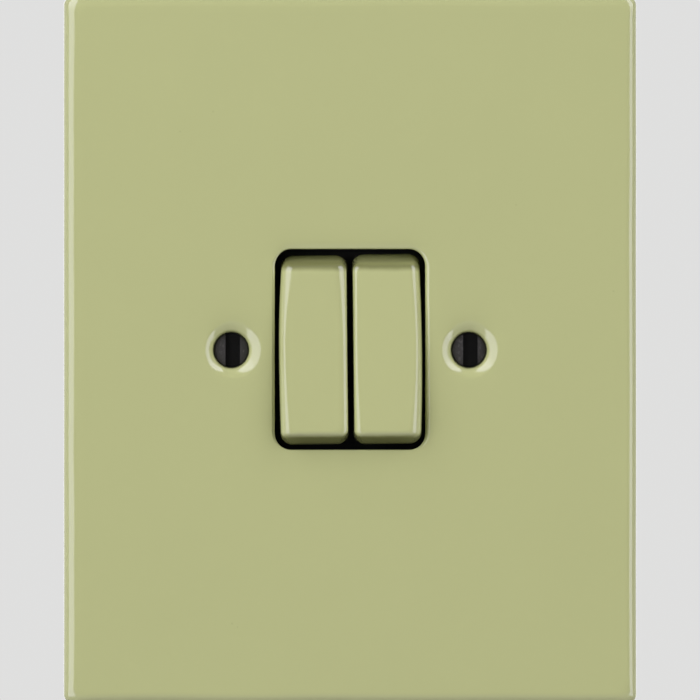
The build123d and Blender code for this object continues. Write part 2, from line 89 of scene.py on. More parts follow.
class PlateSizes(bpy.types.PropertyGroup):
    """Sizes of the porcelain cover."""

    edge_radius: length("Edge radius", "Rounding of the outer front edge", 0.0015)
    corner_radius: length("Corner radius", "Rounding of the upright corners", 0.0013)
    window_width: length("Window width", "Width of the opening for the rockers", 0.0215)
    window_height: length("Window height", "Height of the opening for the rockers", 0.0285)
    window_corner: length("Window corner", "Corner radius of the opening", 0.0023)
    window_rim: length("Window rim", "Rounding of the opening's front edge", 0.00052)
    rim_tail: length("Rim tail", "How far the glaze sinks towards the window", 0.00013)
    hole_radius: length("Hole radius", "Radius of the holes round the screw heads", 0.00256)
    hole_flare: length("Hole flare", "Rounding of the screw holes' mouths", 0.00144)
    shank_radius: length("Shank hole", "Radius of the holes round the screw shanks", 0.0018)
    rim_wall: length("Rim wall", "Thickness of the cover's rim", 0.0045)
    front_wall: length("Front wall", "Thickness of the cover's front", 0.0045)
    inner_corner: length("Inner corner", "Corner radius inside the rim", 0.004)
    boss_radius: length("Boss radius", "Radius of the bosses behind the screw holes", 0.004)
    boss_height: length("Boss height", "Height of the bosses behind the front", 0.0031)
    unevenness: length("Unevenness", "Depth of the waves that firing leaves in the face", 0.00005)
    glaze: colour("Glaze", "Colour of the glaze", (0.453, 0.468, 0.229))
    bisque: colour("Bisque", "Colour of the bare fired clay", (0.70, 0.64, 0.53))


class RockerSizes(bpy.types.PropertyGroup):
    """Sizes of the two porcelain rocker caps."""

    width: length("Width", "Width of a cap at its back", 0.0099)
    length: length("Length", "Length of a cap at its back", 0.027)
    height: length("Height", "Height of a cap", 0.0037)
    top_radius: length("Top radius", "Rounding between a cap's face and its upper end", 0.0017)
    bottom_radius: length("Bottom radius", "Rounding between a cap's face and its lower end", 0.00085)
    corner_radius: length("Corner radius", "Rounding of a cap's corners", 0.0017)
    pivot_depth: length("Pivot depth", "Distance from a cap's back to its pivot", 0.0036)
    socket_width: length("Socket width", "Width of the socket for the carrier's spigot", 0.005)
    socket_length: length("Socket length", "Length of the socket for the carrier's spigot", 0.018)
    socket_depth: length("Socket depth", "Depth of the socket for the carrier's spigot", 0.0015)
    top_draft: slant("Top draft", "Slope of a cap's upper end", 29.0)
    bottom_draft: slant("Bottom draft", "Slope of a cap's lower end", 15.5)
    outer_draft: slant("Outer draft", "Slope of a cap's outer side", 3.0)
    inner_draft: slant("Inner draft", "Slope of a cap's inner side", 3.0)
    lean: slant("Lean", "Turn of the bonded caps in the window", 0.62)


class ScrewSizes(bpy.types.PropertyGroup):
    """Sizes of the black cover screws."""

    head_radius: length("Head radius", "Radius of a screw's head", 0.00245)
    head_side: length("Head side", "Height of the head's straight side", 0.0016)
    head_dome: length("Head dome", "Height of the head's dome", 0.0004)
    slot_width: length("Slot width", "Width of the driver slot", 0.0021)
    slot_depth: length("Slot depth", "Depth of the driver slot", 0.0011)
    slot_shift: length("Slot shift", "How far the slot lies off the middle", 0.00022)
    shank_radius: length("Shank radius", "Outer radius of the thread", 0.0015)
    thread_pitch: length("Thread pitch", "Distance from thread to thread", 0.0005)
    black: colour("Black", "Colour of the screw's finish", (0.044, 0.041, 0.042))


class FittingColours(bpy.types.PropertyGroup):
    """Colours of the pieces behind the cover."""

    black_moulding: colour("Black moulding", "Frame and carriers", (0.004, 0.004, 0.0045))
    base_moulding: colour("Base moulding", "Housing in the wall box", (0.55, 0.54, 0.50))
    nylon: colour("Nylon", "Snap plungers", (0.78, 0.77, 0.71))
    zinc: colour("Zinc", "Plated steel", (0.60, 0.61, 0.62))
    brass: colour("Brass", "Terminals, levers and bushes", (0.74, 0.53, 0.24))
    silver: colour("Silver", "Contact rivets", (0.84, 0.83, 0.79))
    spring: colour("Spring steel", "Springs and pivot pin", (0.46, 0.46, 0.47))


class StageSettings(bpy.types.PropertyGroup):
    """Camera, lamps and surroundings."""

    distance: length("Camera distance", "From the cover's face to the camera", 1.2)
    lens: FloatProperty(name="Lens", description="Focal length in millimetres", default=432.0)
    softbox: FloatProperty(name="Softboxes", description="Brightness of the lamps' faces", default=3.4)
    fill: FloatProperty(name="Fill", description="Brightness of the dim room", default=0.03)
    drop: length("Floor drop", "From the cover's lower edge down to the floor", 1.05)
    floor: colour("Floor", "Colour of the floor", (0.78, 0.78, 0.77))
    backdrop: colour("Backdrop", "Colour behind the object", (0.74, 0.74, 0.735))


class Wire:
    """One output of a node tree, so that shader maths reads as plain expressions."""

    def __init__(self, nodes, socket):
        self.nodes = nodes
        self.socket = socket

    def maths(self, operation, first, second):
        return self.nodes.node("ShaderNodeMath", {"operation": operation}, {0: first, 1: second})

    def __add__(self, other):
        return self.maths("ADD", self, other)

    def __radd__(self, other):
        return self.maths("ADD", other, self)

    def __sub__(self, other):
        return self.maths("SUBTRACT", self, other)

    def __rsub__(self, other):
        return self.maths("SUBTRACT", other, self)

    def __mul__(self, other):
        return self.maths("MULTIPLY", self, other)

    def step(self, low, high):
        """Rises softly from 0 at the low value to 1 at the high one."""
        return self.nodes.node(
            "ShaderNodeMapRange",
            {"interpolation_type": "SMOOTHSTEP"},
            {"Value": self, "From Min": low, "From Max": high},
        )


class Nodes:
    """The node tree of a material or of the world."""

    def __init__(self, tree):
        self.tree = tree
        self.shader = tree.nodes.get("Principled BSDF")

    def node(self, kind, settings=None, sockets=None, output=0):
        """Adds a node: its settings first, then the values or links of its sockets."""
        made = self.tree.nodes.new(kind)
        for key, value in (settings or {}).items():
            setattr(made, key, value)
        for key, value in (sockets or {}).items():
            if isinstance(value, Wire):
                self.tree.links.new(value.socket, made.inputs[key])
            else:
                made.inputs[key].default_value = value
        return Wire(self, made.outputs[output])

    def place(self, stretch=(1.0, 1.0, 1.0)):
        """Where a point lies on its piece, in metres, stretched along the axes."""
        spot = self.node("ShaderNodeTexCoord", output="Object")
        return self.node("ShaderNodeVectorMath", {"operation": "MULTIPLY"}, {0: spot, 1: stretch})

    def axis(self, name):
        """One coordinate of a point on its piece, in metres."""
        return self.node("ShaderNodeSeparateXYZ", None, {0: self.place()}, name)

    def cloud(self, size, detail=2.0, stretch=(1.0, 1.0, 1.0), roughness=0.5):
        """Soft noise whose patches are about this size, in metres."""
        return self.node(
            "ShaderNodeTexNoise",
            None,
            {"Vector": self.place(stretch), "Scale": 1.0 / size, "Detail": detail, "Roughness": roughness},
        )

    def grains(self, size):
        """Distance to the nearest of scattered points, about this far apart, in metres."""
        return self.node("ShaderNodeTexVoronoi", None, {"Vector": self.place(), "Scale": 1.0 / size})

    def blend(self, factor, first, second):
        """Colour between two colours."""
        return self.node(
            "ShaderNodeMix",
            {"data_type": "RGBA", "clamp_factor": True},
            {0: factor, 6: first, 7: second},
            2,
        )

    def looked_at(self):
        """1 where the camera, a reflection or clear material looks, 0 for light on the object."""
        rays = ("Is Camera Ray", "Is Glossy Ray", "Is Transmission Ray")
        camera, glossy, through = (self.node("ShaderNodeLightPath", output=ray) for ray in rays)
        return (camera + glossy + through).step(0.0, 1.0)

    def relief(self, height, depth):
        """Normal of a surface whose height varies by this depth, in metres."""
        return self.node("ShaderNodeBump", None, {"Strength": 1.0, "Distance": depth, "Height": height})

    def feed(self, **wires):
        """Links wires to the shader's sockets, named with underscores for blanks."""
        for key, wire in wires.items():
            self.tree.links.new(wire.socket, self.shader.inputs[key.replace("_", " ")])


def shade(tint, factor):
    """A colour made lighter or darker, with its alpha."""
    return (*(min(channel * factor, 1.0) for channel in tint), 1.0)


def finish(name, constants=None):
    """A new material and its node tree, with constants on its shader."""
    material = bpy.data.materials.new(name)
    material.use_nodes = True
    nodes = Nodes(material.node_tree)
    for key, value in (constants or {}).items():
        nodes.shader.inputs[key].default_value = value
    return material, nodes


def glazed_porcelain(sizes, name, painted_shade_ends=None):
    """Glossy glaze, uneven in depth, that stops short of the bare foot rim; given end heights, painted shade
    darkens the caps' sloped end faces.
    """
    cool = (0.74, 0.72, 1.0, 1.0)
    material, nodes = finish(
        name, {"IOR": 1.5, "Specular Tint": cool, "Coat Weight": 0.6, "Coat Roughness": 0.05}
    )
    pools = nodes.cloud(size=0.018, detail=3.0)
    breath = nodes.cloud(size=0.0035, detail=4.0, roughness=0.6)
    specky = nodes.cloud(size=0.012, detail=1.0).step(0.52, 0.62)
    specks = nodes.grains(size=0.0042).step(0.045, 0.02) * specky
    body = nodes.blend(pools, shade(sizes.glaze, 0.985), shade(sizes.glaze, 1.015))
    body = nodes.blend(breath.step(0.55, 0.8) * 0.22, body, shade(sizes.glaze, 1.05))
    body = nodes.blend(specks * 0.35, body, shade(sizes.glaze, 0.72))
    # Painted shade: the caps' sloped end faces are darkened to an olive tint, and painted light lifts part of that
    # darkening near the deep top of the upper end face, more on the right cap.
    if painted_shade_ends:
        low_end, high_end = painted_shade_ends
        fade, deep_light_from, deep_light_to = 0.001, 0.0008, 0.0022
        height = nodes.axis("Z") + nodes.cloud(size=0.003) * 0.0003
        right_cap = nodes.axis("X").step(-0.001, 0.001)
        # Painted light easing the painted shade deep down the upper end face
        deep_end_light = height.step(high_end + deep_light_from, high_end + deep_light_to) * (0.25 + right_cap * 0.6)
        upper = height.step(high_end, high_end + fade) - deep_end_light
        lower = (0.0 - height).step(-low_end, fade - low_end)
        # Darker, yellower tint of the painted end shade
        end_shade_tint = (sizes.glaze[0], sizes.glaze[1], sizes.glaze[2] * 0.75)
        body = nodes.blend(upper * 0.92 + lower * 1.05, body, shade(end_shade_tint, 0.36))
    clay = nodes.blend(nodes.cloud(size=0.0009, detail=3.0), shade(sizes.bisque, 0.9), shade(sizes.bisque, 1.05))
    bare = (nodes.axis("Y") + nodes.cloud(size=0.004) * 0.0007).step(-0.0004, 0.0)
    waves = nodes.cloud(size=0.0065, detail=1.0) * 0.8 + nodes.cloud(size=0.0014) * 0.12 - specks * 0.05
    nodes.feed(
        Base_Color=nodes.blend(bare, body, clay),
        Roughness=0.085 + breath * 0.05 + specks * 0.1 + bare * 0.7,
        Normal=nodes.relief(waves, depth=0.000022),
    )
    return material


def bare_bisque(sizes):
    """Matt fired clay on the back, where no glaze was laid."""
    material, nodes = finish("bare_bisque", {"Specular IOR Level": 0.25})
    grain = nodes.cloud(size=0.0005, detail=4.0)
    stain = nodes.cloud(size=0.014, detail=3.0)
    clay = nodes.blend(grain, shade(sizes.bisque, 0.9), shade(sizes.bisque, 1.06))
    tint = (sizes.bisque[0] * 0.9, sizes.bisque[1] * 0.86, sizes.bisque[2] * 0.8)
    nodes.feed(
        Base_Color=nodes.blend(stain.step(0.5, 0.75) * 0.5, clay, shade(tint, 1.0)),
        Roughness=0.78 + grain * 0.15,
        Normal=nodes.relief(grain + nodes.grains(size=0.0011) * 0.5, depth=0.00006),
    )
    return material


def black_finish(sizes):
    """Satin black on the screws, rubbed a little on the high spots, with painted shade turning the slot near black
    below the dome.
    """
    material, nodes = finish("satin_black_screw", {"Specular IOR Level": 0.2})
    turned = nodes.cloud(size=0.0006, detail=3.0, stretch=(1.0, 0.2, 1.0))
    rubbed = nodes.cloud(size=0.0005, detail=4.0, roughness=0.7).step(0.52, 0.7)
    worn = nodes.blend(rubbed * 0.7, shade(sizes.black, 0.85), shade(sizes.black, 2.0))
    # Painted shade: the slot's recess, below the dome, is darkened to near black in colour.
    sunk = nodes.axis("Y").step(screws_low.y + sizes.head_dome, screws_low.y + sizes.head_dome * 2.0)
    nodes.feed(
        Base_Color=nodes.blend(sunk, worn, shade(sizes.black, 0.05)),
        Roughness=0.4 + turned * 0.14 + rubbed * 0.1,
        Normal=nodes.relief(turned + rubbed * 0.4, depth=0.000012),
    )
    return material


def moulded(name, tint, spread, gloss, grain_size, depth, sheen=0.4):
    """Moulded plastic with a fine eroded grain and faint flow marks."""
    material, nodes = finish(name, {"Specular IOR Level": sheen})
    flow = nodes.cloud(size=0.016, detail=3.0, stretch=(1.0, 1.0, 0.45))
    grain = nodes.cloud(grain_size, detail=3.0, roughness=0.6)
    nodes.feed(
        Base_Color=nodes.blend(
            flow * 0.7 + grain * 0.3, shade(tint, 1.0 - spread), shade(tint, 1.0 + spread)
        ),
        Roughness=gloss + grain * 0.16 + flow * 0.06,
        Normal=nodes.relief(grain, depth),
    )
    return material


def worked_metal(name, tint, stain, gloss, stretch, depth):
    """Metal with fine working lines and patches of tarnish."""
    material, nodes = finish(name)
    lines = nodes.cloud(size=0.0004, detail=3.0, stretch=stretch)
    patches = nodes.cloud(size=0.007, detail=4.0, roughness=0.6)
    dull = patches.step(0.5, 0.72)
    metal = nodes.blend(lines, shade(tint, 0.93), shade(tint, 1.05))
    nodes.feed(
        Base_Color=nodes.blend(dull * 0.55, metal, shade(stain, 1.0)),
        Metallic=1.0 - dull * 0.12,
        Roughness=gloss + lines * 0.12 + dull * 0.16,
        Normal=nodes.relief(lines + patches * 0.3, depth),
    )
    return material


def ripple(x, z, size, seed):
    """Smooth wandering between -1 and 1 over the face, on this length."""
    return noise.noise(Vector((x / size, seed, z / size)))


def rounded_rectangle(half_x, half_z, radius, steps):
    """Points round a rounded rectangle with their outward normals, up its right side first."""
    along_z, along_x, in_corner = steps
    straight_x, straight_z = half_x - radius, half_z - radius
    points = []
    for turn in range(4):
        quarter = turn * pi / 2
        normal = (round(cos(quarter)), round(sin(quarter)))
        count = along_z if turn % 2 == 0 else along_x
        run = straight_z if turn % 2 == 0 else straight_x
        for k in range(count):
            slide = run * (2 * k / count - 1)
            points.append(
                (normal[0] * half_x - normal[1] * slide, normal[1] * half_z + normal[0] * slide, *normal)
            )
        middle_x = straight_x if turn in (0, 3) else -straight_x
        middle_z = straight_z if turn in (0, 1) else -straight_z
        for k in range(in_corner):
            angle = quarter + k / in_corner * pi / 2
            points.append(
                (middle_x + radius * cos(angle), middle_z + radius * sin(angle), cos(angle), sin(angle))
            )
    return points


def outside(x, z, half_x, half_z, radius):
    """Distance from a rounded rectangle, negative inside it."""
    over_x = abs(x) - half_x + radius
    over_z = abs(z) - half_z + radius
    return hypot(max(over_x, 0.0), max(over_z, 0.0)) + min(max(over_x, over_z), 0.0) - radius


def rounding(radius, steps, hold):
    """Insets and depths of a rounded edge, from the face outwards, with a holding step."""
    profile = [(radius + hold, 0.0)]
    for k in range(steps + 1):
        angle = k / steps * pi / 2
        profile.append((radius * (1 - sin(angle)), radius * (1 - cos(angle))))
    return profile


def countersink(width, hold):
    """Insets and depths of a dished mouth that steepens into its bore."""
    profile = [(width + hold, 0.0), (width, 0.0)]
    drop, steps = 0.0, 16
    dished, bend = 0.72, 0.28
    for k in range(1, steps + 1):
        part = (k - 0.5) / steps
        slope = 19 + 26 * part if part < dished else 38 + 44 * (part - dished) / bend
        drop += width / steps * tan(radians(slope))
        profile.append((width * (1 - k / steps), drop))
    return profile


def add_ring(mesh, points):
    """New vertices at these points."""
    return [mesh.verts.new(point) for point in points]


def band(mesh, first, second, material=0):
    """Faces between two rings of as many vertices."""
    for k in range(len(first)):
        after = (k + 1) % len(first)
        face = mesh.faces.new((first[k], first[after], second[after], second[k]))
        face.material_index = material


def bands(mesh, rings, material=0):
    """Faces between each ring and the next."""
    for first, second in zip(rings, rings[1:]):
        band(mesh, first, second, material)


def encloses(outline, x, z):
    """Whether an outline goes round this spot."""
    inside = False
    for (from_x, from_z), (to_x, to_z) in zip(outline, outline[1:] + outline[:1]):
        if (from_z > z) != (to_z > z) and x < from_x + (z - from_z) / (to_z - from_z) * (to_x - from_x):
            inside = not inside
    return inside


def spread_faces(mesh, loops, keep, depth, spacing, material=0):
    """Triangles over the area between rings, with inner points on a staggered grid."""
    owners = [vert for loop in loops for vert in loop]
    edges = []
    for loop in loops:
        first = len(edges)
        edges += [(first + k, first + (k + 1) % len(loop)) for k in range(len(loop))]
    half_x = max(vert.co.x for vert in owners)
    half_z = max(vert.co.z for vert in owners)
    inner = []
    row_height, clear, millimetres = spacing * 0.866, spacing * 0.45, 1000
    rows = int(half_z / row_height)
    columns = int(half_x / spacing) + 1
    for row in range(-rows, rows + 1):
        for column in range(-columns, columns + 1):
            x = (column + 0.5 * (row % 2)) * spacing
            z = row * row_height
            if keep(x, z, clear):
                inner.append((x, z))
    owners += add_ring(mesh, [(x, depth(x, z), z) for x, z in inner])
    flat = [Vector((vert.co.x, vert.co.z)) * millimetres for vert in owners]
    points, _, faces, sources, _, _ = delaunay_2d_cdt(flat, edges, [], 0, 1e-5)
    outlines = [[(vert.co.x * millimetres, vert.co.z * millimetres) for vert in loop] for loop in loops]
    for face in faces:
        corners = [sources[k][0] for k in face]
        if all(k < len(edges) for k in corners):
            middle = sum((points[k] for k in face), Vector((0.0, 0.0))) / len(face)
            if sum(encloses(outline, middle.x, middle.y) for outline in outlines) != 1:
                continue
        made = mesh.faces.new([owners[k] for k in corners])
        made.material_index = material


def made_piece(name, mesh, materials, sharp=radians(35)):
    """An object from a finished mesh, smooth except at edges sharper than the angle."""
    bmesh.ops.remove_doubles(mesh, verts=mesh.verts, dist=1e-7)
    bmesh.ops.recalc_face_normals(mesh, faces=mesh.faces)
    data = bpy.data.meshes.new(name)
    mesh.to_mesh(data)
    mesh.free()
    for material in materials:
        data.materials.append(material)
    data.shade_smooth()
    data.set_sharp_from_angle(angle=sharp)
    piece = bpy.data.objects.new(name, data)
    bpy.context.scene.collection.objects.link(piece)
    return piece


def circle(x, z, radius, depth, count=72):
    """Points of a circle on the face at this depth, or at a depth given for each place."""
    points = []
    for k in range(count):
        angle = k / count * 2 * pi
        reach = radius(angle) if callable(radius) else radius
        spot_x, spot_z = x + reach * cos(angle), z + reach * sin(angle)
        points.append((spot_x, depth(spot_x, spot_z) if callable(depth) else depth, spot_z))
    return points


class SWITCH_OT_cover_plate(bpy.types.Operator):
    """Make the glazed cover with its window and flared screw holes"""

    bl_idname = "light_switch.cover_plate"
    bl_label = "Cover plate"

    def execute(self, context):
        sizes = context.scene.switch_plate
        screws = context.scene.switch_screws
        front, back = plate_low.y, plate_high.y
        half_x, half_z = plate_high.x, plate_high.z
        window_x, window_z = sizes.window_width / 2, sizes.window_height / 2
        inside = front + sizes.front_wall
        seat = screws_low.y + screws.head_side + screws.head_dome
        screw_x = screws_high.x - screws.head_radius
        mouth = sizes.hole_radius + sizes.hole_flare
        mouths = ((-screw_x, 0.00032), (screw_x, 0.00014))
        hold, arris, easing = 0.0002, 0.0003, 0.3

        def sunk(x, z):
            """Depth of the uneven face."""
            sink = sizes.unevenness * (1 + ripple(x, z, size=0.026, seed=4.7))
            tail, deeper_above = 0.0009, 2.4
            edge = max(outside(x, z, window_x, window_z, sizes.window_corner), 0.0)
            aside = max(abs(x) - window_x + sizes.window_corner, 0.0)
            over = max(z - window_z + sizes.window_corner, 0.0)
            above = (over / max(hypot(aside, over), 0.0001)) ** 2
            sink += sizes.rim_tail * (1 + deeper_above * above) * exp(-edge / tail)
            for hole_x, shift in mouths:
                away = hypot(x - hole_x - shift, z)
                brow = max(z, 0.0) / max(away, mouth)
                hole_tail = 0.0007 + 0.0006 * brow
                sink += sizes.rim_tail * (0.3 + 2.0 * brow) * exp(-max(away - mouth, 0.0) / hole_tail)
            return front + sink

        mesh = bmesh.new()
        sides = (66, 54, 9)
        shrink, edge_waves, left_swell, corner_growth = 0.00004, 0.12, 0.3, 0.55

        def outer(inset, drop):
            """A ring of the rounded front edge, which swells and wanders a little."""
            points = []
            for x, z, out_x, out_z in rounded_rectangle(
                half_x - inset, half_z - inset, sizes.corner_radius + inset * corner_growth, sides
            ):
                swell = 1 + edge_waves * ripple(x, z, size=0.013, seed=9.2) - left_swell * min(out_x, 0.0)
                shy = shrink * (1 + ripple(x, z, size=0.017, seed=1.4)) - inset * (1 - swell)
                x, z = x - out_x * shy, z - out_z * shy
                points.append((x, sunk(x, z) + drop * swell, z))
            return add_ring(mesh, points)

        def wall(inset, depth):
            """A ring of the outer side."""
            points = rounded_rectangle(half_x - inset, half_z - inset, sizes.corner_radius, sides)
            return add_ring(mesh, [(x, depth, z) for x, z, _, _ in points])

        edge_rings = [outer(*step) for step in rounding(sizes.edge_radius, 10, hold)]
        foot = 0.0004
        side_rings = [edge_rings[-1], wall(shrink, front + 0.4 * (back - front)), wall(shrink, back - foot)]
        side_rings += [wall(shrink + foot * easing, back - foot * easing), wall(shrink + foot, back)]
        bands(mesh, edge_rings)
        bands(mesh, side_rings)

        def lining(inset, depth):
            """A ring inside the rim."""
            lining_x, lining_z = half_x - sizes.rim_wall - inset, half_z - sizes.rim_wall - inset
            points = rounded_rectangle(lining_x, lining_z, sizes.inner_corner - inset, sides)
            return add_ring(mesh, [(x, depth, z) for x, z, _, _ in points])

        cove, cove_steps = 0.0012, 5
        lining_rings = [side_rings[-1], lining(-arris, back), lining(0.0, back - arris)]
        for k in range(cove_steps + 1):
            angle = k / cove_steps * pi / 2
            lining_rings.append(lining(cove * (1 - cos(angle)), inside + cove * (1 - sin(angle))))
        bands(mesh, lining_rings, 1)

        window_sides = (44, 34, 10)
        lift, rim_waves, skirt_sides, left_crispness = 0.00018, 0.14, 0.65, 0.8
        rim_right, rim_left, rim_top, rim_bottom = 0.45, 0.25, 0.6, 0.65

        def window(inset, drop, skirt=0.0):
            """A ring of the opening's rounded rim, or of the face a skirt's width round it."""
            points = []
            for x, z, out_x, out_z in rounded_rectangle(
                window_x + inset, window_z + inset, sizes.window_corner + inset, window_sides
            ):
                swell = 1 + rim_waves * ripple(x, z, size=0.008, seed=2.6)
                swell += rim_right * max(out_x, 0.0) + rim_left * min(out_x, 0.0)
                swell -= rim_top * max(out_z, 0.0) - rim_bottom * min(out_z, 0.0)
                grown = inset * (swell - 1) + skirt * (1 - skirt_sides * abs(out_x))
                x, z = x + out_x * grown, z + out_z * grown + lift * max(out_z, 0.0)
                crisp = min(out_x, 0.0) ** 2 * max(sizes.window_rim - inset, 0.0) * left_crispness
                points.append((x, sunk(x, z) + drop * swell + crisp * (inset / sizes.window_rim), z))
            return add_ring(mesh, points)

        def jamb(inset, depth):
            """A ring of the opening's straight side."""
            points = rounded_rectangle(
                window_x + inset, window_z + inset, sizes.window_corner + inset, window_sides
            )
            return add_ring(mesh, [(x, depth, z + lift * max(out_z, 0.0)) for x, z, _, out_z in points])

        window_skirts = (0.0014, 0.001, 0.00065, 0.00035)
        rim_rings = [window(sizes.window_rim + hold, 0.0, skirt) for skirt in window_skirts]
        rim_rings += [window(*step) for step in rounding(sizes.window_rim, 9, hold)]
        rim_rings += [jamb(0.0, inside - 0.0025), jamb(0.0, inside - arris), jamb(arris, inside)]
        bands(mesh, rim_rings)

        hole_skirts = (0.0016, 0.0011, 0.0007, 0.00035)
        bore_break, fillet = 0.0001, 0.0005
        boss_back = inside + sizes.boss_height

        def skirt_share(rise):
            """Share of a skirt's width that is kept: all of it above a hole, little below."""
            return 0.15 + 0.85 * max(rise, 0.0)

        flare_loops, boss_loops = [], []
        for hole_x, shift in mouths:

            def level(radius, depth):
                """A ring round the hole."""
                return add_ring(mesh, circle(hole_x, 0.0, radius, depth))

            flare = []
            for skirt in hole_skirts:

                def grown(angle):
                    return mouth + hold + skirt * skirt_share(sin(angle))

                flare.append(add_ring(mesh, circle(hole_x + shift, 0.0, grown, sunk)))
            for inset, drop in countersink(sizes.hole_flare, hold):
                lead = shift * min(inset / sizes.hole_flare, 1.0)
                radius = sizes.hole_radius + inset
                flare.append(
                    add_ring(mesh, circle(hole_x + lead, 0.0, radius, lambda x, z: sunk(x, z) + drop))
                )
            flare += [level(sizes.hole_radius, seat - arris), level(sizes.hole_radius - bore_break, seat)]
            flare.append(level(sizes.shank_radius, seat))
            bands(mesh, flare)
            boss = [flare[-1], level(sizes.shank_radius, boss_back)]
            boss += [level(sizes.boss_radius - arris, boss_back), level(sizes.boss_radius, boss_back - arris)]
            boss += [
                level(sizes.boss_radius, inside + fillet),
                level(sizes.boss_radius + fillet * easing, inside + fillet * easing),
                level(sizes.boss_radius + fillet, inside),
            ]
            bands(mesh, boss, 1)
            flare_loops.append(flare[0])
            boss_loops.append(boss[-1])

        def on_face(x, z, margin):
            """Whether a spot lies on the open face, clear of its edge, window and holes."""
            inset = (sizes.edge_radius + hold) * (1 + edge_waves + left_swell) + margin
            if outside(x, z, half_x - inset, half_z - inset, sizes.corner_radius) > 0:
                return False
            rim = sizes.window_rim + hold + 0.0011 + margin
            if outside(x, z, window_x, window_z, sizes.window_corner) < rim:
                return False
            for hole_x, shift in mouths:
                away = hypot(x - hole_x - shift, z)
                if away < mouth + hold + hole_skirts[0] * skirt_share(z / max(away, mouth)) + margin:
                    return False
            return True

        def within(x, z, margin):
            """Whether a spot lies on the front's back, clear of the rim, window and bosses."""
            inset = sizes.rim_wall + cove + margin
            if outside(x, z, half_x - inset, half_z - inset, sizes.inner_corner - cove) > 0:
                return False
            if outside(x, z, window_x, window_z, sizes.window_corner) < arris + margin:
                return False
            return all(hypot(x - hole_x, z) > sizes.boss_radius + fillet + margin for hole_x, _ in mouths)

        spread_faces(mesh, [edge_rings[0], rim_rings[0], *flare_loops], on_face, sunk, spacing=0.0017)
        back_loops = [lining_rings[-1], rim_rings[-1], *boss_loops]
        spread_faces(mesh, back_loops, within, lambda x, z: inside, spacing=0.0045, material=1)
        materials = [glazed_porcelain(sizes, "glazed_porcelain"), bare_bisque(sizes)]
        piece = made_piece("porcelain_cover", mesh, materials)
        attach(piece, "mechanism")
        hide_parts("cover_plate")
        return {"FINISHED"}


def drafted_inset(height, draft, radius, rise):
    """Inset of a sloped end with a rounded top edge, at this height above its foot."""
    tangent = radius * tan((pi / 2 - draft) / 2)
    if height <= rise - tangent * cos(draft):
        return height * tan(draft)
    drop = rise - height
    return rise * tan(draft) + tangent - sqrt(max(radius**2 - (radius - drop) ** 2, 0.0))


def shouldered_inset(height, draft, reach, fall, rise):
    """Inset of a sloped side with a shoulder of this reach and fall, at this height above its foot."""
    if height <= rise - fall:
        return height * tan(draft)
    part = min((height - rise + fall) / fall, 1.0)
    wall = (rise - fall + fall * part * (1 - part / 2)) * tan(draft)
    return wall + reach * (1 - sqrt(1 - part * part))


class Shoulder:
    """One long side of a cap: how it bows and how its edge is rounded from bottom to top."""

    def __init__(self, half, bow, draft, reach, fall):
        self.half, self.bow, self.draft, self.reach, self.fall = half, bow, draft, reach, fall

    def along(self, values, t):
        """A value between those at the bottom, the middle and the top."""
        low, middle, high = values
        return middle + (high - middle) * t * t if t > 0 else middle + (low - middle) * t * t

    def out(self, t, height, rise):
        """Distance of the side from the cap's middle."""
        inset = shouldered_inset(height, self.draft, self.along(self.reach, t), self.along(self.fall, t), rise)
        return self.half - self.along((self.bow[0], 0.0, self.bow[1]), t) - inset


